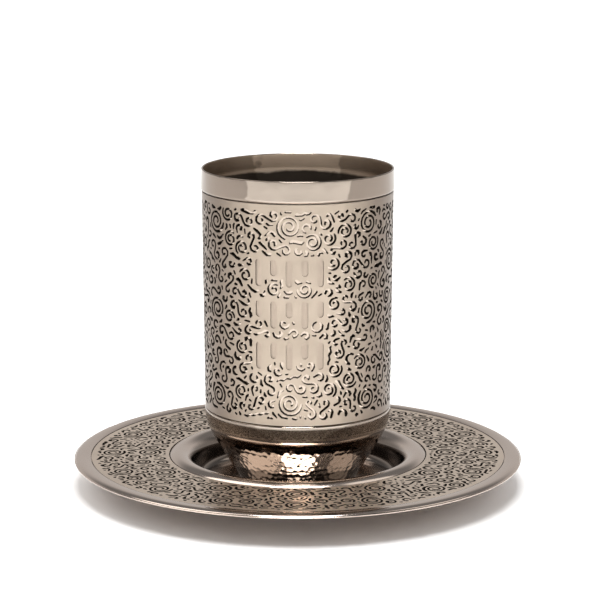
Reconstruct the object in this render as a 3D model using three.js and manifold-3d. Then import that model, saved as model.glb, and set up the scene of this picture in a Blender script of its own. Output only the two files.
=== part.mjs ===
// Kiddush cup: a hollow metal tumbler in a pierced sleeve, standing in the well of its own plate.
// Millimetres, +Z up. The origin is the centre of the plate's underside, and the front faces -Y.
import * as THREE from "three";
import { mergeVertices } from "three/addons/utils/BufferGeometryUtils.js";
import Module from "manifold-3d";

const wasm = await Module();
wasm.setup();

// Sizes that all the pieces share
const segments = 48; // sides of every turned piece
const gap = 0.3; // clearance between pieces that touch
const wall = 1; // metal of the cup and the plate
const skin = 0.85; // metal of the pierced sleeve
const frontAngle = -Math.PI / 2;

// Plate, by radius and height
const plateRadius = 80;
const ringTop = 11; // face of the pierced ring
const ringSkin = 1;
const seatInner = 45.9;
const seatOuter = 74.2;
const bandInnerEdge = 11.1; // height of the outer band beside the ring
const bandCrown = [78.2, 11.8]; // the outer band bends towards this
const bandOuterEdge = [79.55, 10.85];
const lipHeight = [10.1, 10.6]; // upright edge of the plate
const bandUnderside = [77.3, 10.7];
const floorRadius = 33.7; // flat floor of the well
const filletRadius = 3.2;
const bandRadius = 5.1; // half-round of the band about the well
const bandCentre = [42.45, 7.1];
const bandSpan = [49, 172]; // degrees, from the ring over to the well
const bandUnderSpan = [172, 25];

// Cup, by radius and height
const footRadius = 19.3;
const bowlFoot = [20.4, 2.1];
const bowlTop = [30.6, 18.9];
const bowlBend = 23.6; // height at which the bowl has turned upright
const bowlBendInside = [30.9, 22.5];
const innerFloor = 2.5;
const shoulderRadius = 33.1;
const shoulderTop = 29;
const wallBottomRadius = 31.9; // straight wall behind the sleeve
const wallTopRadius = 32.55;
const rimBottom = 107.2;
const rimTop = 114.7;
const rimRadius = 34.1;
const lipRadius = 33.9;
const lipBevel = 0.3;
const lipThickness = 0.65;
const mouthFlare = [[33, 109], [31.55, 104]]; // the inside widens between these

// Sleeve
const sleeveBottom = shoulderTop + gap;
const sleeveTop = 106.7;
const sleeveBottomRadius = 33.05;
const sleeveTopRadius = 33.75;

// Pierced ornament
const strokeWidth = 1.3;
const scrollOuter = 4.2; // a scroll winds in from this radius
const scrollInner = 1.4;
const scrollTurn = THREE.MathUtils.degToRad(300);
const scrollSteps = 5;
const goldenAngle = Math.PI * (3 - Math.sqrt(5));
const sleeveRows = 5;
const sleeveAcross = 7;
const ringCircles = [[53.5, 12], [66.3, 16]]; // radius of each circle of scrolls, and how many

// The rows of shallow strokes on the front of the sleeve
const panelAngle = frontAngle - THREE.MathUtils.degToRad(5);
const panelRows = [54, 68.5, 83];
const panelHalfWidth = 13.5;
const panelHalfHeight = 22;
const panelStrokes = 5;
const panelStroke = [2.2, 9.5];
const shortStroke = 0.6; // of a full stroke's length
const engravingDepth = 0.35;
const overrun = 1; // cutters reach this far past the metal

const point = (radius, height) => new THREE.Vector2(radius, height);

// Points along a circular arc, from one angle to another in degrees
function arc(centre, radius, from, to, steps) {
  const points = [];
  for (let i = 0; i <= steps; i++) {
    const angle = THREE.MathUtils.degToRad(from + ((to - from) * i) / steps);
    points.push(point(centre[0] + radius * Math.cos(angle), centre[1] + radius * Math.sin(angle)));
  }
  return points;
}

// Points along a curve that leaves one point towards a second and arrives at a third
function bend(start, towards, end, steps) {
  return new THREE.QuadraticBezierCurve(point(...start), point(...towards), point(...end)).getPoints(steps);
}

// A profile, listed from the underside outwards and up, turned about the vertical axis
function turned(profile) {
  return new THREE.LatheGeometry(profile, segments).rotateX(Math.PI / 2);
}

function toSolid(geometry) {
  const bare = geometry.clone();
  bare.deleteAttribute("normal");
  bare.deleteAttribute("uv");
  const merged = mergeVertices(bare);
  const vertProperties = new Float32Array(merged.attributes.position.array);
  const triVerts = new Uint32Array(merged.index.array);
  return new wasm.Manifold(new wasm.Mesh({ numProp: 3, vertProperties, triVerts }));
}

function toGeometry(solid) {
  const mesh = solid.getMesh();
  const geometry = new THREE.BufferGeometry();
  geometry.setAttribute("position", new THREE.BufferAttribute(mesh.vertProperties, mesh.numProp));
  geometry.setIndex(new THREE.BufferAttribute(mesh.triVerts, 1));
  geometry.computeVertexNormals();
  return geometry;
}

function cutAway(geometry, cutters) {
  let solid = toSolid(geometry);
  for (const cutter of cutters) {
    solid = solid.subtract(toSolid(cutter));
  }
  return toGeometry(solid);
}

// The outline of a stroke that follows a line of points at an even width
function strokeShape(line, width) {
  const left = [];
  const right = [];
  line.forEach((here, i) => {
    const before = line[Math.max(i - 1, 0)];
    const after = line[Math.min(i + 1, line.length - 1)];
    const along = after.clone().sub(before).normalize();
    const across = point(-along.y, along.x).multiplyScalar(width / 2);
    left.push(here.clone().sub(across));
    right.unshift(here.clone().add(across));
  });
  return new THREE.Shape([...left, ...right]);
}

// A scroll that winds inwards, turned by an angle, to the left or to the right
function scrollLine(turn, hand) {
  const line = [];
  for (let i = 0; i <= scrollSteps; i++) {
    const part = i / scrollSteps;
    const radius = THREE.MathUtils.lerp(scrollOuter, scrollInner, part);
    const angle = turn + hand * scrollTurn * part;
    line.push(point(radius * Math.cos(angle), radius * Math.sin(angle)));
  }
  return hand > 0 ? line : line.reverse();
}

// A prism that stands outwards on the sleeve at an angle and a height
function sleeveCutter(shape, angle, height, innerRadius) {
  const outwards = new THREE.Vector3(Math.cos(angle), Math.sin(angle), 0);
  const sideways = new THREE.Vector3(-Math.sin(angle), Math.cos(angle), 0);
  const place = new THREE.Matrix4().makeBasis(sideways, new THREE.Vector3(0, 0, 1), outwards);
  place.setPosition(outwards.x * innerRadius, outwards.y * innerRadius, height);
  const depth = sleeveTopRadius + overrun - innerRadius;
  return new THREE.ExtrudeGeometry(shape, { depth, bevelEnabled: false }).applyMatrix4(place);
}

// A prism that stands upright on the plate's ring at an angle and a radius
function ringCutter(shape, angle, radius) {
  const depth = ringSkin + 2 * overrun;
  const cutter = new THREE.ExtrudeGeometry(shape, { depth, bevelEnabled: false });
  cutter.rotateZ(angle);
  cutter.translate(radius * Math.cos(angle), radius * Math.sin(angle), ringTop - ringSkin - overrun);
  return cutter;
}

function insidePanel(angle, height) {
  const aside = Math.atan2(Math.sin(angle - panelAngle), Math.cos(angle - panelAngle)) * sleeveTopRadius;
  const away = height - panelRows[1];
  return Math.abs(aside) < panelHalfWidth + scrollOuter && Math.abs(away) < panelHalfHeight + scrollOuter;
}

function plateProfile() {
  const filletCentre = [floorRadius, wall + filletRadius];
  const seat = ringTop - ringSkin - gap;
  const [lipBottom, lipTop] = lipHeight;
  return [
    point(0, 0),
    ...arc(filletCentre, filletRadius + wall, -90, 0, 2),
    ...arc(bandCentre, bandRadius - wall, ...bandUnderSpan, 4),
    point(seatInner, seat - wall),
    point(seatOuter, seat - wall),
    ...bend([seatOuter + wall, seat], bandUnderside, [plateRadius - wall / 2, lipBottom], 2),
    point(plateRadius, lipBottom),
    point(plateRadius, lipTop),
    ...bend(bandOuterEdge, bandCrown, [seatOuter, bandInnerEdge], 4),
    point(seatOuter, seat),
    point(seatInner, seat),
    ...arc(bandCentre, bandRadius, ...bandSpan, 6),
    ...arc(filletCentre, filletRadius, 0, -90, 2),
    point(0, wall),
  ];
}

function cupProfile() {
  const slope = (bowlTop[0] - bowlFoot[0]) / (bowlTop[1] - bowlFoot[1]);
  const inset = wall * Math.hypot(1, slope); // the bowl's wall measured level
  const floorEdge = bowlFoot[0] + (innerFloor - bowlFoot[1]) * slope - inset;
  return [
    point(0, wall + gap),
    point(footRadius, wall + gap),
    point(...bowlFoot),
    ...bend(bowlTop, [shoulderRadius, bowlBend], [shoulderRadius, shoulderTop], 5),
    point(wallBottomRadius, shoulderTop),
    point(wallTopRadius, rimBottom),
    point(rimRadius, rimBottom),
    point(lipRadius, rimTop - lipBevel),
    point(lipRadius - lipBevel, rimTop),
    point(lipRadius - lipThickness, rimTop - lipBevel / 2),
    point(...mouthFlare[0]),
    point(...mouthFlare[1]),
    ...bend([wallBottomRadius - wall, shoulderTop], bowlBendInside, [bowlTop[0] - inset, bowlTop[1]], 3),
    point(floorEdge, innerFloor),
    point(0, innerFloor),
  ];
}

function sleeveGeometry() {
  const tube = turned([
    point(sleeveBottomRadius - skin, sleeveBottom),
    point(sleeveBottomRadius, sleeveBottom),
    point(sleeveTopRadius, sleeveTop),
    point(sleeveTopRadius - skin, sleeveTop),
    point(sleeveBottomRadius - skin, sleeveBottom),
  ]);
  const cutters = [];
  const pitch = (sleeveTop - sleeveBottom) / sleeveRows;
  for (let i = 0; i < sleeveRows * sleeveAcross; i++) {
    const row = Math.floor(i / sleeveAcross);
    const angle = panelAngle + ((i + (row % 2) / 2) / sleeveAcross) * 2 * Math.PI;
    const height = sleeveBottom + (row + 0.5) * pitch;
    if (!insidePanel(angle, height)) {
      const scroll = strokeShape(scrollLine(i * goldenAngle, i % 2 ? 1 : -1), strokeWidth);
      cutters.push(sleeveCutter(scroll, angle, height, sleeveBottomRadius - skin - overrun));
    }
  }
  return cutAway(tube, [...cutters, ...panelCutters()]);
}

// Three rows of shallow upright strokes, every second one short
function panelCutters() {
  const cutters = [];
  const pitch = (2 * panelHalfWidth) / panelStrokes;
  for (const [row, height] of panelRows.entries()) {
    for (let i = 0; i < panelStrokes; i++) {
      const short = (i + row) % 2;
      const half = (panelStroke[1] / 2) * (short ? shortStroke : 1);
      const shift = panelStroke[1] / 2 - half; // the tops of a row stand level
      const upright = [point(0, shift - half), point(0, shift + half)];
      const angle = panelAngle + ((i + 0.5) * pitch - panelHalfWidth) / sleeveTopRadius;
      const part = (height - sleeveBottom) / (sleeveTop - sleeveBottom);
      const face = THREE.MathUtils.lerp(sleeveBottomRadius, sleeveTopRadius, part);
      cutters.push(sleeveCutter(strokeShape(upright, panelStroke[0]), angle, height, face - engravingDepth));
    }
  }
  return cutters;
}

function ringGeometry() {
  const inner = seatInner + gap;
  const outer = seatOuter - gap;
  const annulus = turned([
    point(inner, ringTop - ringSkin),
    point(outer, ringTop - ringSkin),
    point(outer, ringTop),
    point(inner, ringTop),
    point(inner, ringTop - ringSkin),
  ]);
  const cutters = [];
  for (const [radius, count] of ringCircles) {
    for (let i = 0; i < count; i++) {
      const angle = frontAngle + (i / count) * 2 * Math.PI;
      const scroll = strokeShape(scrollLine(i * goldenAngle, i % 2 ? 1 : -1), strokeWidth);
      cutters.push(ringCutter(scroll, angle, radius));
    }
  }
  return cutAway(annulus, cutters);
}

const mirrorMetal = new THREE.MeshStandardMaterial({ color: 0xc8beb0, roughness: 0.12, metalness: 1 });
const satinMetal = new THREE.MeshStandardMaterial({ color: 0xcfc4b3, roughness: 0.38, metalness: 1 });

function piece(name, geometry, material) {
  const mesh = new THREE.Mesh(geometry, material.clone());
  mesh.name = name;
  return mesh;
}

const kiddushCup = new THREE.Group();
kiddushCup.add(
  piece("plate", turned(plateProfile()), mirrorMetal),
  piece("pierced_plate_ring", ringGeometry(), satinMetal),
  piece("cup_body", turned(cupProfile()), mirrorMetal),
  piece("pierced_sleeve", sleeveGeometry(), satinMetal),
);

export default kiddushCup;
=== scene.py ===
import math
import random

import bmesh
import bpy
from mathutils import Matrix, Vector


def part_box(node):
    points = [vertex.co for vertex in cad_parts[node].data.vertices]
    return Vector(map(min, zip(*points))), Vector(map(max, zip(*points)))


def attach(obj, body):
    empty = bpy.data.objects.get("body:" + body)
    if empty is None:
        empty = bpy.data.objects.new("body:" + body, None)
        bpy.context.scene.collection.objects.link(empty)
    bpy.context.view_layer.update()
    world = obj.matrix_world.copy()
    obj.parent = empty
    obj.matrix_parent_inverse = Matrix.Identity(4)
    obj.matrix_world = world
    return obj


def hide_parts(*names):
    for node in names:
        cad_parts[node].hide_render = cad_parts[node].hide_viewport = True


# Kiddush cup in its plate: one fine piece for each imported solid, on the same form.
# Sizes are in millimetres and become metres where a mesh is made. Heights in the metals are in metres.
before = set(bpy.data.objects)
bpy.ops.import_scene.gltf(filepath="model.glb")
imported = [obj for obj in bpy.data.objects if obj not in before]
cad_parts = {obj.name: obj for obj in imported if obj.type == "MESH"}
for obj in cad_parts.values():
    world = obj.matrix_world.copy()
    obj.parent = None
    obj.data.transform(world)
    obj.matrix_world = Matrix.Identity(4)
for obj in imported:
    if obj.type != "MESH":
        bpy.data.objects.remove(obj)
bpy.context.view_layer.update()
mm = 0.001
frontAngle = -math.pi / 2
goldenAngle = math.pi * (3 - math.sqrt(5))


def boxOf(node):
    low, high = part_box(node)
    return [v / mm for v in low], [v / mm for v in high]


# Shader helpers

class Sock:
    # a node's output that takes part in Python sums
    def __init__(self, paint, link):
        self.paint = paint
        self.link = link

    def __add__(self, other):
        return self.paint.sum("ADD", self, other)

    def __radd__(self, other):
        return self.paint.sum("ADD", other, self)

    def __sub__(self, other):
        return self.paint.sum("SUBTRACT", self, other)

    def __mul__(self, other):
        return self.paint.sum("MULTIPLY", self, other)

    def __rmul__(self, other):
        return self.paint.sum("MULTIPLY", other, self)


class Paint:
    # the nodes of a material, or of the world
    def __init__(self, owner, place="Object"):
        owner.use_nodes = True
        self.owner = owner
        self.tree = owner.node_tree
        self.tree.nodes.clear()
        self.place = self.node("ShaderNodeTexCoord", out=place)

    def node(self, kind, settings=None, inputs=None, out=0):
        made = self.tree.nodes.new(kind)
        for key, value in (settings or {}).items():
            setattr(made, key, value)
        for key, value in (inputs or {}).items():
            if isinstance(value, Sock):
                self.tree.links.new(value.link, made.inputs[key])
            else:
                made.inputs[key].default_value = value
        return Sock(self, made.outputs[out]) if made.outputs else made

    def sum(self, operation, first, second):
        return self.node("ShaderNodeMath", {"operation": operation}, {0: first, 1: second})

    def noise(self, scale, detail=3.0, roughness=0.5):
        inputs = {"Vector": self.place, "Scale": scale, "Detail": detail, "Roughness": roughness}
        return self.node("ShaderNodeTexNoise", {"noise_dimensions": "3D"}, inputs, "Fac")

    def step(self, value, low, high):
        ends = {"Value": value, "From Min": low, "From Max": high}
        return self.node("ShaderNodeMapRange", {"interpolation_type": "SMOOTHSTEP"}, ends)

    def mix(self, amount, first, second):
        ends = {0: amount, 6: first, 7: second}
        return self.node("ShaderNodeMix", {"data_type": "RGBA"}, ends, 2)

    def facing(self):
        # 0 where the surface faces the eye, 1 at its outline
        return self.node("ShaderNodeLayerWeight", {}, {"Blend": 0.5}, "Facing")

    def bump(self, height, strength, distance):
        inputs = {"Height": height, "Strength": strength, "Distance": distance}
        return self.node("ShaderNodeBump", {}, inputs, "Normal")

    def finish(self, inputs):
        shader = self.node("ShaderNodeBsdfPrincipled", {}, inputs, "BSDF")
        self.node("ShaderNodeOutputMaterial", {}, {"Surface": shader})
        return self.owner


def paintFor(name):
    return Paint(bpy.data.materials.new(name))


def rgba(colour):
    return (*colour, 1.0)


# Mesh helpers

def arcPoints(centre, radius, start, end, steps):
    points = []
    for i in range(steps + 1):
        angle = math.radians(start + (end - start) * i / steps)
        points.append((centre[0] + radius * math.cos(angle), centre[1] + radius * math.sin(angle)))
    return points


def bendPoints(start, towards, end, steps):
    points = []
    for i in range(steps + 1):
        t = i / steps
        weights = (1 - t) ** 2, 2 * t * (1 - t), t ** 2
        points.append(tuple(sum(w * p[k] for w, p in zip(weights, (start, towards, end))) for k in (0, 1)))
    return points


def resample(points, step):
    # puts points in along each straight stretch, at most a step apart
    fine = [points[0]]
    for a, b in zip(points, points[1:]):
        count = max(1, math.ceil(math.dist(a, b) / step))
        for i in range(1, count + 1):
            fine.append((a[0] + (b[0] - a[0]) * i / count, a[1] + (b[1] - a[1]) * i / count))
    return fine


def turned(profile, steps):
    bm = bmesh.new()
    verts = [bm.verts.new((r * mm, 0, z * mm)) for r, z in profile]
    edges = [bm.edges.new(pair) for pair in zip(verts, verts[1:])]
    bmesh.ops.spin(bm, geom=verts + edges, cent=(0, 0, 0), axis=(0, 0, 1), angle=2 * math.pi,
                   steps=steps, use_merge=True)
    bmesh.ops.remove_doubles(bm, verts=bm.verts, dist=1e-7)
    bmesh.ops.recalc_face_normals(bm, faces=bm.faces)
    bm.normal_update()
    return bm


def asObject(name, bm, materials, sharpAngle=35):
    mesh = bpy.data.meshes.new(name)
    bm.to_mesh(mesh)
    bm.free()
    for material in materials:
        mesh.materials.append(material)
    mesh.shade_smooth()
    mesh.set_sharp_from_angle(angle=math.radians(sharpAngle))
    made = bpy.data.objects.new(name, mesh)
    bpy.context.scene.collection.objects.link(made)
    return made


def settle(piece, node):
    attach(piece, "root")
    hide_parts(node)
    print(piece.name, "has", sum(len(p.vertices) - 2 for p in piece.data.polygons), "triangles")


# Camera, floor and light

camera = {
    "distance": 858.8,
    "height": 245.3,
    "aside": 0.8,
    "pitch": 11.73,
    "lens": 148.2,
}


def makeCamera():
    data = bpy.data.cameras.new("camera")
    data.lens = camera["lens"]
    data.sensor_width = 36
    data.clip_end = 50
    made = bpy.data.objects.new("camera", data)
    made.location = (camera["aside"] * mm, -camera["distance"] * mm, camera["height"] * mm)
    made.rotation_euler = (math.radians(90 - camera["pitch"]), 0, 0)
    bpy.context.scene.collection.objects.link(made)
    bpy.context.scene.camera = made


studio = {
    "floorRadius": 6.0,
    "floorColour": (0.90, 0.90, 0.90),
    "sky": (0.58, 0.56, 0.54),
    "horizon": (0.95, 0.93, 0.90), # low in front
    "ceiling": (0.20, 0.20, 0.20),
    "frontPanel": (0.06, 0.06, 0.06), # dark, high in front
    # the way to each bright panel overhead, the cosine of its half width, and its colour
    "sidePanels": (
        ((-0.50, 0.10, 0.86), 0.94, (2.20, 2.13, 2.04)),
        ((0.55, 0.22, 0.80), 0.96, (1.10, 1.07, 1.02)),
    ),
    # place, the point it faces, size, power and spread of each lamp
    "lamps": {
        "softbox": ((0.0, -0.27, 1.15), (0, -0.27, 0), (0.5, 0.55), 12.5, 180),
        "backdropLamp": ((0.0, 1.9, 1.3), (0, 1.9, 0), (3.2, 2.6), 36.0, 180),
        "leftLamp": ((-2.3, -0.2, 1.3), (-2.3, -0.2, 0), (2.2, 2.2), 23.0, 180),
        "rightLamp": ((2.3, -0.2, 1.3), (2.3, -0.2, 0), (2.2, 2.2), 23.0, 180),
        "frontLamp": ((0.0, -2.6, 1.3), (0, -2.6, 0), (2.4, 2.2), 14.0, 180),
    },
}


def makeFloor():
    paint = paintFor("floorPaint")
    mottle = paint.noise(6.0)
    colour = paint.mix(mottle, rgba(studio["floorColour"]), rgba([c * 0.98 for c in studio["floorColour"]]))
    material = paint.finish({"Base Color": colour, "Roughness": 0.9})
    bm = bmesh.new()
    bmesh.ops.create_circle(bm, cap_ends=True, segments=64, radius=studio["floorRadius"])
    bmesh.ops.translate(bm, verts=bm.verts, vec=(0, 0, -0.0001))
    floor = asObject("floor", bm, [material])


def makeSky():
    # a pale room with a dim ceiling, a dark panel high in front and two bright ones above the sides
    world = bpy.data.worlds.new("studioWorld")
    paint = Paint(world, "Generated")
    split = paint.node("ShaderNodeSeparateXYZ", {}, {"Vector": paint.place})
    away, up = (Sock(paint, split.link.node.outputs[axis]) for axis in ("Y", "Z"))
    front = paint.step(away, -0.1, -0.4)
    colour = paint.mix(front, rgba(studio["sky"]), rgba(studio["horizon"]))
    colour = paint.mix(paint.step(up, 0.3, 0.55), colour, rgba(studio["ceiling"]))
    panel = front * paint.step(up, 0.2, 0.28) * paint.step(up, 0.97, 0.93)
    colour = paint.mix(panel, colour, rgba(studio["frontPanel"]))
    for way, width, shine in studio["sidePanels"]:
        ends = {0: paint.place, 1: way}
        near = paint.node("ShaderNodeVectorMath", {"operation": "DOT_PRODUCT"}, ends, "Value")
        colour = paint.mix(paint.step(near, width - 0.01, width + 0.01), colour, rgba(shine))
    shine = paint.node("ShaderNodeBackground", {}, {"Color": colour})
    paint.node("ShaderNodeOutputWorld", {}, {"Surface": shine})
    bpy.context.scene.world = world


def makeLamps():
    for name, (place, aim, size, power, spread) in studio["lamps"].items():
        data = bpy.data.lights.new(name, "AREA")
        data.shape = "RECTANGLE"
        data.size, data.size_y = size
        data.energy = power
        data.spread = math.radians(spread)
        lamp = bpy.data.objects.new(name, data)
        lamp.visible_glossy = name == "softbox"
        lamp.location = place
        lamp.rotation_euler = (Vector(aim) - Vector(place)).to_track_quat("-Z", "Y").to_euler()
        bpy.context.scene.collection.objects.link(lamp)
    bpy.context.scene.view_settings.view_transform = "Standard"


# Metals

# where each darker tone begins and where it is full; all but the rim's are painted shade
zones = {
    "shoulderLow": (0.0232, 0.0245),
    "shoulderHigh": (0.0287, 0.0280),
    "rim": (0.106, 0.107),
    "insideShadeTop": (0.1086, 0.1076),
    "insideShadeBottom": (0.075, 0.099),
    # these three by the distance from the middle of the underside
    "wellFloor": (0.0285, 0.0265),
    "wellSide": (0.0335, 0.0350),
    "wellEdge": (0.041, 0.039),
}


def polishedMetal():
    paint = paintFor("polishedMetal")
    cloud = paint.noise(60.0, 4)
    fine = paint.noise(900.0, 3, 0.6)
    colour = paint.mix(cloud, rgba((0.62, 0.523, 0.463)), rgba((0.7, 0.595, 0.527)))
    # painted shade: the well is darkened about the cup's foot and up its side, with a paler ring left between
    reach = paint.node("ShaderNodeVectorMath", {"operation": "LENGTH"}, {0: paint.place}, "Value")
    reach = reach + 0.0016 * (cloud - 0.5)
    side = paint.step(reach, *zones["wellSide"]) * paint.step(reach, *zones["wellEdge"])
    wellShade = paint.step(reach, *zones["wellFloor"]) + side
    colour = paint.mix(wellShade * 0.7, colour, rgba((0.05, 0.042, 0.036)))
    roughness = 0.07 + 0.06 * fine + 0.05 * cloud
    normal = paint.bump(fine, 0.05, 0.0001)
    return paint.finish({"Base Color": colour, "Metallic": 1.0, "Roughness": roughness, "Normal": normal})


def hammeredMetal():
    paint = paintFor("hammeredMetal")
    cloud = paint.noise(80.0, 4)
    fine = paint.noise(1200.0, 3, 0.6)
    colour = paint.mix(cloud, rgba((0.78, 0.672, 0.564)), rgba((0.88, 0.758, 0.647)))
    height = paint.node("ShaderNodeSeparateXYZ", {}, {"Vector": paint.place}, "Z")
    # painted shade: a dark band round the smooth shoulder, for the dark that it mirrors
    shoulder = paint.step(height + 0.001 * cloud, *zones["shoulderLow"])
    shoulder = shoulder * paint.step(height, *zones["shoulderHigh"])
    # the rim is duller than the bowl
    colour = paint.mix(paint.step(height, *zones["rim"]) * 0.45, colour, rgba((0.20, 0.165, 0.14)))
    colour = paint.mix(shoulder * 0.72, colour, rgba((0.16, 0.13, 0.106)))
    # painted shade: darker where the metal turns away from the eye
    edge = paint.step(paint.facing() + 0.10 * (paint.noise(150.0, 3) - 0.5), 0.15, 0.17)
    colour = paint.mix(edge * 0.7, colour, rgba((0.2, 0.158, 0.13)))
    roughness = 0.06 + 0.07 * fine
    normal = paint.bump(fine, 0.04, 0.0001)
    return paint.finish({"Base Color": colour, "Metallic": 1.0, "Roughness": roughness, "Normal": normal})


def insideMetal():
    # the brownish inside of the cup, with painted shade: black below the rim and darker where it turns away
    paint = paintFor("insideMetal")
    cloud = paint.noise(70.0, 5)
    height = paint.node("ShaderNodeSeparateXYZ", {}, {"Vector": paint.place}, "Z")
    colour = paint.mix(cloud, rgba((0.62, 0.49, 0.379)), rgba((0.82, 0.672, 0.536)))
    # painted shade: darker where the inside turns away from the eye
    edge = paint.step(paint.facing() + 0.16 * (paint.noise(130.0, 3) - 0.5), 0.09, 0.11)
    colour = paint.mix(edge * 0.6, colour, rgba((0.2, 0.139, 0.097)))
    # painted shade: black from just below the rim down the wall, fading out lower down
    insideShade = paint.step(height + 0.003 * (cloud - 0.5), *zones["insideShadeTop"])
    insideShade = insideShade * paint.step(height, *zones["insideShadeBottom"])
    colour = paint.mix(insideShade * 0.93, colour, rgba((0.02, 0.015, 0.012)))
    roughness = 0.30 + 0.15 * cloud
    return paint.finish({"Base Color": colour, "Metallic": 1.0, "Roughness": roughness})


def satinMetal(name, pale, dark, shade):
    # shade is how much painted shade darkens the metal where it turns away from the eye
    paint = paintFor(name)
    cloud = paint.noise(45.0, 5)
    grain = paint.noise(2600.0, 2, 0.7)
    colour = paint.mix(paint.step(cloud, 0.3, 0.7), rgba(dark), rgba(pale))
    # painted shade: darker towards the outline, with a crisp first step
    turn = paint.facing() + 0.12 * (cloud - 0.5)
    edge = 0.2 * paint.step(turn, 0.13, 0.16) + 0.8 * paint.step(turn, 0.06, 0.5)
    colour = paint.mix(edge * shade, colour, rgba((0.17, 0.134, 0.111)))
    roughness = 0.26 + 0.12 * grain + 0.08 * cloud
    normal = paint.bump(grain, 0.12, 0.0001)
    return paint.finish({"Base Color": colour, "Metallic": 1.0, "Roughness": roughness, "Normal": normal})


def backingMetal():
    # the wall seen through the cuts
    paint = paintFor("backingMetal")
    cloud = paint.noise(300.0, 4)
    colour = paint.mix(cloud, rgba((0.58, 0.49, 0.407)), rgba((0.7, 0.595, 0.5)))
    roughness = 0.10 + 0.12 * cloud
    return paint.finish({"Base Color": colour, "Metallic": 1.0, "Roughness": roughness})


def cutShadeMetal():
    # the walls of the cuts, coloured near black: painted shade for the dark within the cuts
    paint = paintFor("cutShadeMetal")
    cloud = paint.noise(300.0, 4)
    colour = paint.mix(cloud, rgba((0.012, 0.01, 0.008)), rgba((0.05, 0.04, 0.033)))
    roughness = 0.55 + 0.2 * cloud
    return paint.finish({"Base Color": colour, "Specular IOR Level": 0.1, "Roughness": roughness})


def etchedMetal():
    # floors of the shallow strokes
    paint = paintFor("etchedMetal")
    cloud = paint.noise(260.0, 4)
    colour = paint.mix(cloud, rgba((0.5, 0.413, 0.338)), rgba((0.62, 0.518, 0.426)))
    roughness = 0.42 + 0.12 * cloud
    normal = paint.bump(paint.noise(3000.0, 2), 0.3, 0.0001)
    return paint.finish({"Base Color": colour, "Metallic": 1.0, "Roughness": roughness, "Normal": normal})


# Scrollwork: centre lines in millimetres on a flat sheet

scrolls = {
    "width": 0.9,
    "widest": 1.5,
    "web": 0.40, # least metal left between two cuts
    "step": 0.4, # of a line that grows
    "tightest": 0.78, # radius of the smallest curl
    "bigOuter": 4.2,
    "bigInner": 0.85,
    "bigTurns": 2.1,
    "spiralStep": 20, # degrees from one point of a spiral to the next
    "degreesApart": 30, # turn from one point of any other line to the next
    "stretch": 1.9, # most that two points of such a line lie apart
    "mark": 0.6, # between the marks that a placed line leaves
    "endShare": 0.75, # of its width that a stroke keeps at its ends
    "tip": 0.35, # of the width, how far the point at each end reaches
    "overrun": 0.5, # cutters reach this far past the metal
}
pitch = scrolls["width"] + scrolls["web"]


def moved(line, angle, place=(0, 0)):
    c, s = math.cos(angle), math.sin(angle)
    return [(place[0] + c * x - s * y, place[1] + s * x + c * y) for x, y in line]


def spiralLine(outer, inner, turns, hand):
    steps = math.ceil(turns * 360 / scrolls["spiralStep"])
    line = []
    for i in range(steps + 1):
        radius = outer + (inner - outer) * i / steps
        angle = hand * turns * 2 * math.pi * i / steps
        line.append((radius * math.cos(angle), radius * math.sin(angle)))
    return line


def thinned(line):
    # drops the points that a nearly straight stretch doesn't need
    kept, turn = [line[0]], 0.0
    for before, here, after in zip(line, line[1:], line[2:]):
        ways = [math.atan2(b[1] - a[1], b[0] - a[0]) for a, b in ((before, here), (here, after))]
        turn += abs(math.remainder(ways[1] - ways[0], 2 * math.pi))
        if turn > math.radians(scrolls["degreesApart"]) or math.dist(kept[-1], here) > scrolls["stretch"]:
            kept.append(here)
            turn = 0.0
    return kept + [line[-1]]


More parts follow.
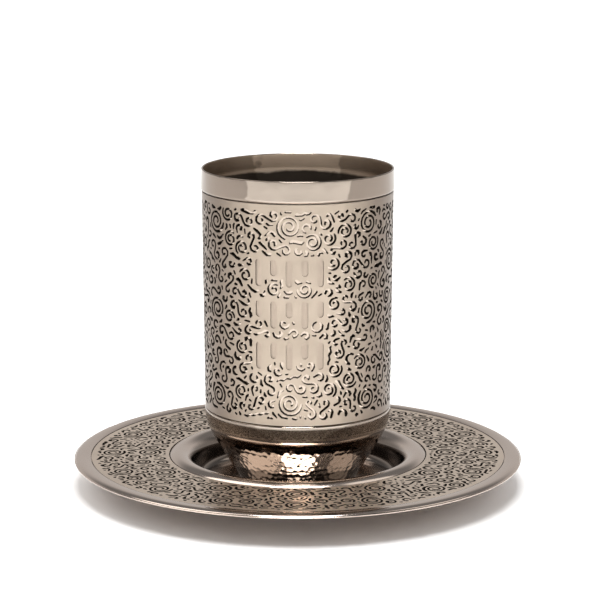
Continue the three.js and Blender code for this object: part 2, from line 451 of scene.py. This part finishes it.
class Layout:
    # keeps every new cut a web away from the ones already placed
    def __init__(self, inside, seed, around=None):
        self.inside = inside
        self.around = around
        self.columns = math.floor(around / pitch) if around else None
        self.cell = around / self.columns if around else pitch
        self.draw = random.Random(seed)
        self.cells = {}
        self.cuts = []

    def key(self, x, y):
        i = math.floor(x / self.cell)
        return (i % self.columns if self.around else i), math.floor(y / self.cell)

    def nearby(self, x, y, reach):
        # how far the marks within reach cells are: the square of it, then whose they are
        i, j = self.key(x, y)
        for di in range(-reach, reach + 1):
            column = (i + di) % self.columns if self.around else i + di
            for dj in range(-reach, reach + 1):
                for px, py, owner, along in self.cells.get((column, j + dj), ()):
                    aside = x - px
                    if self.around:
                        aside = (aside + self.around / 2) % self.around - self.around / 2
                    yield aside * aside + (y - py) ** 2, owner, along

    def free(self, x, y, own=()):
        if not self.inside(x, y):
            return False
        if any(square < pitch * pitch for square, _, _ in self.nearby(x, y, 1)):
            return False
        return all((x - px) ** 2 + (y - py) ** 2 >= pitch * pitch for px, py in own)

    def fits(self, line):
        return all(self.free(x, y) for x, y in resample(line, scrolls["mark"]))

    def add(self, line, ends=(0.95, 0.95), spiral=False):
        # ends are the shares of the width that the stroke has at its start and its finish
        owner = len(self.cuts)
        for i, (x, y) in enumerate(resample(line, scrolls["mark"])):
            self.cells.setdefault(self.key(x, y), []).append((x, y, owner, i * scrolls["mark"]))
        self.cuts.append((line if spiral else thinned(line), ends))

    def swollen(self, owner):
        # the cut's line with a width at each point, wider where there is room beside it
        line, ends = self.cuts[owner]
        widths, along = [], 0.0
        for i, (x, y) in enumerate(line):
            along += math.dist(line[max(i - 1, 0)], (x, y))
            room = min((square for square, other, place in self.nearby(x, y, 2)
                        if other != owner or abs(place - along) > 3 * pitch), default=9.0)
            share = ends[0] + (ends[1] - ends[0]) * i / (len(line) - 1)
            room = min(math.sqrt(room) - scrolls["web"], scrolls["widest"])
            widths.append(max(scrolls["width"] * share, room * min(1.0, share)))
        return line, widths

    def place(self, lines, ends=(0.95, 0.95), spiral=False):
        # lines that belong together are placed or dropped together
        if all(self.fits(line) for line in lines):
            for line in lines:
                self.add(line, ends, spiral)

    def grow(self, start, heading, bend, longest, own=()):
        # follows bend, the curve at each distance, until something is in the way
        step, most = scrolls["step"], 1 / scrolls["tightest"]
        near = math.ceil(1.9 * pitch / step)
        line = [start]
        while len(line) * step < longest:
            heading += max(-most, min(most, bend(len(line) * step))) * step
            here = (line[-1][0] + step * math.cos(heading), line[-1][1] + step * math.sin(heading))
            if not self.free(*here, list(own) + line[:-near]):
                break
            line.append(here)
        return line

    def spots(self, size, apart):
        # a jittered grid over the sheet, in a shuffled order
        (left, low), (right, high) = size
        found = []
        for i in range(math.ceil((right - left) / apart)):
            for j in range(math.ceil((high - low) / apart)):
                x = left + (i + self.draw.random()) * apart
                y = low + (j + self.draw.random()) * apart
                found.append((x, y))
        self.draw.shuffle(found)
        return [spot for spot in found if self.free(*spot)]


def bigScroll(layout, place, turn, hand):
    line = spiralLine(scrolls["bigOuter"], scrolls["bigInner"], scrolls["bigTurns"], hand)
    layout.place([moved(line, turn, place)], spiral=True)


def smallSpirals(layout, spots):
    inner = 0.7
    for spot in spots:
        outer = layout.draw.uniform(2.3, 3.2)
        line = spiralLine(outer, inner, (outer - inner) / pitch, layout.draw.choice((-1, 1)))
        layout.place([moved(line, layout.draw.uniform(0, 6.3), spot)], spiral=True)


def daisies(layout, spots):
    petals, inner, outer = 6, 1.75, 3.1
    for spot in spots:
        turn = layout.draw.uniform(0, 6.3)
        lines = [[(0.0, 0.0), (0.12, 0.0)]]
        for i in range(petals):
            lines.append(moved([(inner, 0), (outer, 0)], 2 * math.pi * i / petals))
        layout.place([moved(line, turn, spot) for line in lines], (0.7, 1.3))


def curl(hand, lead, first):
    # a nearly straight lead into a spiral that starts at the first radius and winds in by a pitch a turn
    def bend(distance):
        if distance < lead:
            return hand * 0.08
        square = first ** 2 - 1.05 * pitch * (distance - lead) / math.pi
        return hand / math.sqrt(max(square, scrolls["tightest"] ** 2))
    return bend


def doubleScrolls(layout, spots, least):
    # grows both ways from a spot, with a curl at either end
    for spot in spots:
        if not layout.free(*spot):
            continue
        heading, hand = layout.draw.uniform(0, 6.3), layout.draw.choice((-1, 1))
        bends = [curl(hand, layout.draw.uniform(0.6, 2.2), layout.draw.uniform(1.3, 2.1)) for _ in range(2)]
        front = layout.grow(spot, heading, bends[0], 12)
        back = layout.grow(spot, heading + math.pi, bends[1], 12, front[5:])
        if min(len(front), len(back)) * scrolls["step"] > least:
            layout.add(back[:0:-1] + front)


def hooks(layout, spots, least, longest):
    # a tail that ends in a curl, a wave or an arc
    for spot in spots:
        if not layout.free(*spot):
            continue
        hand = layout.draw.choice((-1, 1))
        kind = layout.draw.random()
        follow = curl(hand, layout.draw.uniform(0.4, 3.0), layout.draw.uniform(1.1, 1.8))
        rise = layout.draw.uniform(0.35, 0.9)

        def bend(distance):
            if kind < 0.8:
                return follow(distance)
            return hand * (1.3 * math.cos(distance * 2.2) if kind < 0.9 else rise)

        line = layout.grow(spot, layout.draw.uniform(0, 6.3), bend, longest)
        if len(line) * scrolls["step"] > least:
            layout.add(line, (layout.draw.uniform(0.7, 0.9), layout.draw.uniform(0.85, 1.25)))


def nestled(layout, least, longest):
    # lines that start beside the ones already there and run along them
    starts = []

    def offer(line):
        for a, b in zip(line, line[1:]):
            heading = math.atan2(b[1] - a[1], b[0] - a[0])
            for side in (-1, 1):
                gap = side * pitch * 1.03
                starts.append((b[0] - gap * math.sin(heading), b[1] + gap * math.cos(heading), heading))

    for line, _ in layout.cuts:
        offer(line)
    while starts:
        x, y, heading = starts.pop(layout.draw.randrange(len(starts)))
        if not layout.free(x, y):
            continue
        if layout.draw.random() < 0.5:
            heading += math.pi
        hand = layout.draw.choice((-1, 1))
        first, rise = layout.draw.uniform(-0.2, 0.3), layout.draw.uniform(0.0, 0.7)
        line = layout.grow((x, y), heading, lambda distance: hand * (first + distance * rise), longest)
        if len(line) * scrolls["step"] > least:
            layout.add(line, (layout.draw.uniform(0.75, 0.95), layout.draw.uniform(0.85, 1.2)))
            offer(line)


def fillIn(layout, size):
    # from the large motifs that need most room to the short curls that fill what is left
    smallSpirals(layout, layout.spots(size, apart=13.0))
    daisies(layout, layout.spots(size, apart=24.0))
    doubleScrolls(layout, layout.spots(size, apart=1.5), least=6.0)
    smallSpirals(layout, layout.spots(size, apart=3.0))
    hooks(layout, layout.spots(size, apart=0.9), least=5.0, longest=11)
    doubleScrolls(layout, layout.spots(size, apart=1.5), least=2.8)
    hooks(layout, layout.spots(size, apart=1.2), least=3.2, longest=8)
    nestled(layout, least=2.6, longest=8)
    nestled(layout, least=1.3, longest=4)
    hooks(layout, layout.spots(size, apart=0.4), least=0.9, longest=3)


def outlineOf(line, widths):
    # a stroke of changing width with blunt points
    left, right = [], []
    last = len(line) - 1
    for i, (here, width) in enumerate(zip(line, widths)):
        before, after = line[max(i - 1, 0)], line[min(i + 1, last)]
        length = math.dist(before, after)
        across = (-(after[1] - before[1]) / length, (after[0] - before[0]) / length)
        half = width / 2 * (scrolls["endShare"] if i in (0, last) else 1)
        left.append((here[0] + across[0] * half, here[1] + across[1] * half))
        right.append((here[0] - across[0] * half, here[1] - across[1] * half))
    tips = []
    for end, near in ((line[0], line[1]), (line[-1], line[-2])):
        length = math.dist(end, near)
        width, tip = scrolls["width"], scrolls["tip"]
        tips.append(tuple(e + (e - n) / length * width * tip for e, n in zip(end, near)))
    return [tips[0]] + right + [tips[1]] + left[::-1]


def cutterMesh(outlines, low, high, wrap):
    # prisms that stand on the flat sheet from low to high, then bent onto the piece by wrap
    bm = bmesh.new()
    for outline in outlines:
        bm.faces.new([bm.verts.new((x, y, low)) for x, y in outline])
    grown = bmesh.ops.extrude_face_region(bm, geom=bm.faces[:])["geom"]
    tops = [g for g in grown if isinstance(g, bmesh.types.BMVert)]
    bmesh.ops.translate(bm, verts=tops, vec=(0, 0, high - low))
    bmesh.ops.triangulate(bm, faces=bm.faces)
    for vert in bm.verts:
        vert.co = Vector(wrap(*vert.co)) * mm
    return bm


def pierced(name, blank, cutters, materials):
    piece = asObject(name, blank, materials)
    for i, cutter in enumerate(cutters):
        tool = asObject(f"{name}Tool{i}", cutter, materials)
        cut = piece.modifiers.new("cut", "BOOLEAN")
        cut.operation = "DIFFERENCE"
        cut.solver = "MANIFOLD"
        cut.object = tool
    bpy.context.view_layer.update()
    graph = bpy.context.evaluated_depsgraph_get()
    mesh = bpy.data.meshes.new_from_object(piece.evaluated_get(graph))
    mesh.name = name
    tools = [cut.object for cut in piece.modifiers]
    piece.modifiers.clear()
    piece.data = mesh
    for tool in tools:
        bpy.data.objects.remove(tool)
    return piece


# Pierced sleeve

sleeve = {
    "thickness": 0.85,
    "columns": 180,
    "border": 1.9,
    "rows": 5,
    "across": 7,
    "seed": 11,
    "panelTurn": math.radians(-5),
    "panelRows": (54, 68.5, 83),
    "panelHalfWidth": 13.5,
    "panelHalfHeight": 22,
    "panelStrokes": 5,
    "strokeSize": (2.2, 9.5),
    "shortStroke": 0.6, # of a full stroke's length
    "shortLift": 0.2, # how much higher its middle is, as such a share, for level tops
    "plainShare": 0.3, # half the height kept free of cuts between strokes, as such a share
    "engraving": 0.35,
    "taper": 0.7, # the top's radius less the bottom's
}


def panelStrokes(bottom):
    # rows of upright strokes, every second one short: the middle and the height of each
    strokes = []
    tall = sleeve["strokeSize"][1]
    apart = 2 * sleeve["panelHalfWidth"] / sleeve["panelStrokes"]
    for row, level in enumerate(sleeve["panelRows"]):
        for i in range(sleeve["panelStrokes"]):
            short = (i + row) % 2
            x = (i + 0.5) * apart - sleeve["panelHalfWidth"]
            y = level - bottom + (tall * sleeve["shortLift"] if short else 0)
            strokes.append((x, y, tall * (sleeve["shortStroke"] if short else 1)))
    return strokes


def strokeOutline(x, y, tall):
    # an upright bar with round ends
    radius = sleeve["strokeSize"][0] / 2
    straight = tall / 2 - radius
    return (arcPoints((x, y - straight), radius, 180, 360, 8)
            + arcPoints((x, y + straight), radius, 0, 180, 8))


def makeSleeve(materials):
    (_, _, bottom), (right, _, top) = boxOf("pierced_sleeve")
    lowRadius = right - sleeve["taper"]
    height = top - bottom
    middle = (lowRadius + right) / 2
    around = 2 * math.pi * middle
    border = sleeve["border"]
    thickness = sleeve["thickness"]
    strokes = panelStrokes(bottom)
    reach = sleeve["strokeSize"][0] / 2 + pitch * 0.9
    lift = sleeve["shortLift"] * sleeve["strokeSize"][1]
    levels = [level - bottom + lift for level in sleeve["panelRows"]]
    plainHalf = sleeve["plainShare"] * sleeve["strokeSize"][1] + pitch

    def wrap(x, y, z):
        angle = frontAngle + sleeve["panelTurn"] + x / middle
        radius = lowRadius + sleeve["taper"] * y / height + z
        return radius * math.cos(angle), radius * math.sin(angle), bottom + y

    def inside(x, y):
        if not border + scrolls["width"] / 2 < y < height - border - scrolls["width"] / 2:
            return False
        aside = (x + around / 2) % around - around / 2
        if abs(aside) < sleeve["panelHalfWidth"] and any(abs(y - level) < plainHalf for level in levels):
            return False
        return all(abs(aside - across) > reach or abs(y - level) > tall / 2 + pitch
                   for across, level, tall in strokes)

    layout = Layout(inside, sleeve["seed"], around)
    rowHeight = height / sleeve["rows"]
    for i in range(sleeve["rows"] * sleeve["across"]):
        row = i // sleeve["across"]
        x = (i + (row % 2) / 2) / sleeve["across"] * around % around
        y = (row + 0.5) * rowHeight
        aside = min(x, around - x)
        away = abs(bottom + y - sleeve["panelRows"][1])
        outer = scrolls["bigOuter"]
        if aside > sleeve["panelHalfWidth"] + outer or away > sleeve["panelHalfHeight"] + outer:
            bigScroll(layout, (x, y), i * goldenAngle, 1 if i % 2 else -1)
    fillIn(layout, ((0, border), (around, height - border)))
    print("sleeve cuts", len(layout.cuts))

    inner, outer = lowRadius - thickness, right - thickness
    profile = [(inner, bottom), (lowRadius, bottom), (right, top), (outer, top), (inner, bottom)]
    outlines = [outlineOf(*layout.swollen(i)) for i in range(len(layout.cuts))]
    past = scrolls["overrun"]
    through = cutterMesh(outlines, -thickness - past, past, wrap)
    shallow = cutterMesh([strokeOutline(*stroke) for stroke in strokes], -sleeve["engraving"], past, wrap)
    tube = turned(profile, sleeve["columns"])
    piece = pierced("pierced_sleeve_detail", tube, [through, shallow], materials)

    mesh = piece.data
    normals = [None] * len(mesh.loops)
    for face in mesh.polygons:
        x, y, z = (c / mm for c in face.center)
        radius = math.hypot(x, y)
        facing = (face.normal.x * x + face.normal.y * y) / radius
        depth = lowRadius + sleeve["taper"] * (z - bottom) / height - radius
        rimFace = z < bottom + 0.05 or z > top - 0.05
        if facing > 0.9:
            face.material_index = 0 if depth < 0.2 else 2
        else:
            face.material_index = 0 if rimFace else 1
        for loop in face.loop_indices:
            if abs(facing) > 0.9:
                corner = mesh.vertices[mesh.loops[loop].vertex_index].co
                normals[loop] = Vector((corner.x, corner.y, 0)).normalized() * math.copysign(1, facing)
            else:
                normals[loop] = face.normal
    mesh.shade_smooth()
    mesh.normals_split_custom_set(normals)
    settle(piece, "pierced_sleeve")


# Pierced ring of the plate

ring = {
    "columns": 240,
    "innerRadius": 46.2,
    "innerBorder": 0.9,
    "outerBorder": 1.5,
    "circles": ((53.5, 12), (66.3, 16)),
    "seed": 23,
}


def makeRing(materials):
    (_, _, low), (outer, _, high) = boxOf("pierced_plate_ring")
    inner = ring["innerRadius"]
    half = scrolls["width"] / 2

    def inside(x, y):
        return inner + ring["innerBorder"] + half < math.hypot(x, y) < outer - ring["outerBorder"] - half

    layout = Layout(inside, ring["seed"])
    for radius, count in ring["circles"]:
        for i in range(count):
            angle = frontAngle + i / count * 2 * math.pi
            place = radius * math.cos(angle), radius * math.sin(angle)
            bigScroll(layout, place, angle + i * goldenAngle, 1 if i % 2 else -1)
    fillIn(layout, ((-outer, -outer), (outer, outer)))
    print("ring cuts", len(layout.cuts))
    profile = [(inner, low), (outer, low), (outer, high), (inner, high), (inner, low)]
    outlines = [outlineOf(*layout.swollen(i)) for i in range(len(layout.cuts))]
    past = scrolls["overrun"]
    through = cutterMesh(outlines, low - past, high + past, lambda x, y, z: (x, y, z))
    piece = pierced("pierced_plate_ring_detail", turned(profile, ring["columns"]), [through], materials)
    for face in piece.data.polygons:
        face.material_index = 0 if face.normal.z > 0.9 else 1
    piece.data.shade_flat()
    settle(piece, "pierced_plate_ring")


# Plate

plate = {
    "wall": 1.0,
    "lipBottom": 10.1,
    "lipTop": 10.6,
    "bandInnerEdge": 11.1,
    "bandCrown": (78.2, 11.8),
    "bandOuterEdge": (79.55, 10.85),
    "bandUnderside": (77.3, 10.7),
    "seatInner": 45.9,
    "seatOuter": 74.2,
    "seatHeight": 9.7,
    "floorRadius": 33.7,
    "fillet": 3.2,
    "bandCentre": (42.45, 7.1),
    "bandRadius": 5.1,
    "bandSpan": (49, 172), # degrees, from the ring over to the well
    "bandUnderSpan": (172, 25),
    "columns": 256,
}


def makePlate(materials):
    (_, _, _), (radius, _, _) = boxOf("plate")
    wall, fillet, seat = plate["wall"], plate["fillet"], plate["seatHeight"]
    band, bandRadius = plate["bandCentre"], plate["bandRadius"]
    filletCentre = (plate["floorRadius"], wall + fillet)
    low, high = plate["lipBottom"], plate["lipTop"]
    profile = [(0, 0), (plate["floorRadius"] * 0.5, 0)]
    profile += arcPoints(filletCentre, fillet + wall, -90, 0, 8)
    profile += arcPoints(band, bandRadius - wall, *plate["bandUnderSpan"], 18)
    profile += [(plate["seatInner"], seat - wall), (plate["seatOuter"], seat - wall)]
    underStart, underEnd = (plate["seatOuter"] + wall, seat), (radius - wall / 2, low)
    profile += bendPoints(underStart, plate["bandUnderside"], underEnd, 6)
    # the upright edge, with its corners rounded off
    profile += [(radius - 0.15, low + 0.03), (radius, low + 0.15)]
    profile += [(radius, high - 0.06), (radius - 0.06, high), (radius - 0.3, high + 0.02)]
    bandEnd = plate["seatOuter"], plate["bandInnerEdge"]
    profile += bendPoints(plate["bandOuterEdge"], plate["bandCrown"], bandEnd, 18)
    profile += [(plate["seatOuter"], seat), (plate["seatInner"], seat)]
    profile += arcPoints(band, bandRadius, *plate["bandSpan"], 32)
    profile += arcPoints(filletCentre, fillet, 0, -90, 10)
    profile += [(plate["floorRadius"] * 0.5, wall), (0, wall)]
    piece = asObject("plate_detail", turned(resample(profile, 4), plate["columns"]), materials)
    settle(piece, "plate")


# Hammered cup

cup = {
    "wall": 1.0,
    "footRadius": 19.3,
    "bowlFoot": (20.4, 2.1),
    "bowlTop": (30.6, 18.9),
    "shoulder": (33.1, 29.0),
    "bowlBend": (33.1, 23.6), # the outside of the bowl bends towards this
    "bowlBendInside": (30.9, 22.5),
    "floor": 1.2,
    "mouthFlare": (33.0, 109), # the inside widens to this
    "flareStart": 104,
    "corner": 0.35, # kept free for a rounded corner
    "lipRound": 0.33,
    "softEdge": 0.25,
    # most that two points of a profile lie apart
    "outsideStep": 0.42,
    "rimStep": 0.6,
    "mouthStep": 0.9,
    "insideStep": 2.5,
    "wallBottom": 31.9,
    "wallTop": 32.55,
    "rimBottom": 107.2,
    "lip": 33.9,
    "columns": 440,
    "hammeredTop": 22.0, # the shoulder above this is smooth
    "dimple": 2.3, # width of a hammer mark on the bowl
    "dimpleDepth": 0.15,
    "dimpledRadius": 27, # about the bowl's middle
    "dimpleStretch": 1.15, # the bowl's slope against its height
    "fadeHeight": 1.5, # over which the marks die away below the shoulder
    "rimDimple": 5.5,
    "rimDepth": 0.03,
    "seed": 5,
}


class Hammer:
    # shallow round marks, one in each cell of a jittered grid that closes round the cup
    rowHeight = 0.87 # of a column's width, as in a honeycomb
    spread = 0.5 # the square of a mark's radius, in columns

    def __init__(self, size, depth, around, seed):
        self.columns = max(3, round(around / size))
        self.size = size
        self.depth = depth
        self.draw = random.Random(seed)
        self.marks = {}

    def mark(self, i, j):
        key = (i % self.columns, j)
        if key not in self.marks:
            self.marks[key] = [self.draw.uniform(-0.25, 0.25), self.draw.uniform(-0.25, 0.25),
                               self.draw.uniform(0.7, 1.3)]
        return self.marks[key]

    def dent(self, turn, y):
        # turn runs from 0 to 1 round the cup
        x = turn * self.columns
        y = y / (self.size * self.rowHeight)
        deepest = 0.0
        for j in range(math.floor(y) - 1, math.floor(y) + 3):
            shift = 0.5 * (j % 2)
            for i in range(math.floor(x - shift) - 1, math.floor(x - shift) + 3):
                aside, up, strength = self.mark(i, j)
                away = (x - i - shift - aside) ** 2 + ((y - j - up) * self.rowHeight) ** 2
                deepest = min(deepest, away / self.spread - strength)
        return self.depth * deepest


def makeCup(materials):
    (_, _, foot), (right, _, top) = boxOf("cup_body")
    wall = cup["wall"]
    (footR, footZ), (bowlR, bowlZ) = cup["bowlFoot"], cup["bowlTop"]
    slope = (bowlR - footR) / (bowlZ - footZ)
    inset = wall * math.hypot(1, slope)
    shoulderR, shoulderZ = cup["shoulder"]
    floor = foot + cup["floor"]
    floorEdge = footR + (floor - footZ) * slope - inset
    lip = cup["lip"]
    outside = [(cup["footRadius"], foot), (footR, footZ)]
    outside += bendPoints((bowlR, bowlZ), cup["bowlBend"], (shoulderR, shoulderZ - cup["corner"]), 18)
    ledge = [(shoulderR - 0.3, shoulderZ), (cup["wallBottom"], shoulderZ)]
    soft, lipRound = cup["softEdge"], cup["lipRound"]
    rim = [(right - soft, cup["rimBottom"]), (right, cup["rimBottom"] + soft), (lip, top - cup["corner"])]
    edge = arcPoints((lip - lipRound, top - lipRound), lipRound, 0, 180, 6)
    inner = [cup["mouthFlare"], (cup["wallTop"] - wall, cup["flareStart"])]
    wallFoot = cup["wallBottom"] - wall, shoulderZ
    inner += bendPoints(wallFoot, cup["bowlBendInside"], (bowlR - inset, bowlZ), 8)
    inner += [(floorEdge, floor)]
    profile = [(0, foot), (cup["footRadius"] * 0.5, foot)]
    profile += resample(outside, cup["outsideStep"]) + ledge
    profile += [(cup["wallTop"], cup["rimBottom"])] + resample(rim, cup["rimStep"]) + edge[1:]
    profile += resample([edge[-1]] + inner[:2], cup["mouthStep"])[1:]
    profile += resample(inner[1:], cup["insideStep"])[1:]
    profile += [(floorEdge * 0.5, floor), (0, floor)]
    bm = turned(profile, cup["columns"])

    bowlMarks = Hammer(cup["dimple"], cup["dimpleDepth"], 2 * math.pi * cup["dimpledRadius"], cup["seed"])
    rimMarks = Hammer(cup["rimDimple"], cup["rimDepth"], 2 * math.pi * right, cup["seed"] + 1)
    insideMarks = Hammer(cup["rimDimple"], cup["rimDepth"], 2 * math.pi * right, cup["seed"] + 2)
    moves = []
    for vert in bm.verts:
        x, y, z = (c / mm for c in vert.co)
        radius = math.hypot(x, y)
        turn = (math.atan2(y, x) / (2 * math.pi)) % 1
        if radius < 5:
            continue
        outsideFace = vert.normal.dot(Vector((x, y, 0))) > 0
        if outsideFace and foot + 0.1 < z < cup["hammeredTop"]:
            fade = min(1, (cup["hammeredTop"] - z) / cup["fadeHeight"])
            moves.append((vert, bowlMarks.dent(turn, z * cup["dimpleStretch"]) * fade))
        elif outsideFace and z > cup["rimBottom"] + 0.2 and z < top - 0.2:
            moves.append((vert, rimMarks.dent(turn, z)))
        elif not outsideFace and z > floor + 0.2 and z < top - 0.2:
            moves.append((vert, insideMarks.dent(turn, z)))
    for vert, depth in moves:
        vert.co += vert.normal * depth * mm
    for face in bm.faces:
        centre = face.calc_center_median()
        radius = math.hypot(centre.x, centre.y) / mm
        z = centre.z / mm
        behind = shoulderZ + 0.1 < z < cup["rimBottom"] - 0.05 and radius > cup["wallBottom"] - 0.5
        inward = face.normal.x * centre.x + face.normal.y * centre.y < 0
        behind = behind and not inward
        within = (inward and z < top - 0.2) or (z > foot + 0.5 and radius < 20)
        face.material_index = 1 if behind else 2 if within else 0
    piece = asObject("cup_body_detail", bm, materials, 50)
    settle(piece, "cup_body")


# Putting it together

makeCamera()
makeFloor()
makeSky()
makeLamps()
print("studio ready")
# near-black walls of the cuts: painted shade
dark = cutShadeMetal()
makePlate([polishedMetal()])
makeRing([satinMetal("ringMetal", (0.94, 0.802, 0.676), (0.84, 0.703, 0.588), 0), dark])
makeCup([hammeredMetal(), backingMetal(), insideMetal()])
makeSleeve([satinMetal("sleeveMetal", (0.60, 0.505, 0.412), (0.49, 0.409, 0.329), 0.80), dark, etchedMetal()])
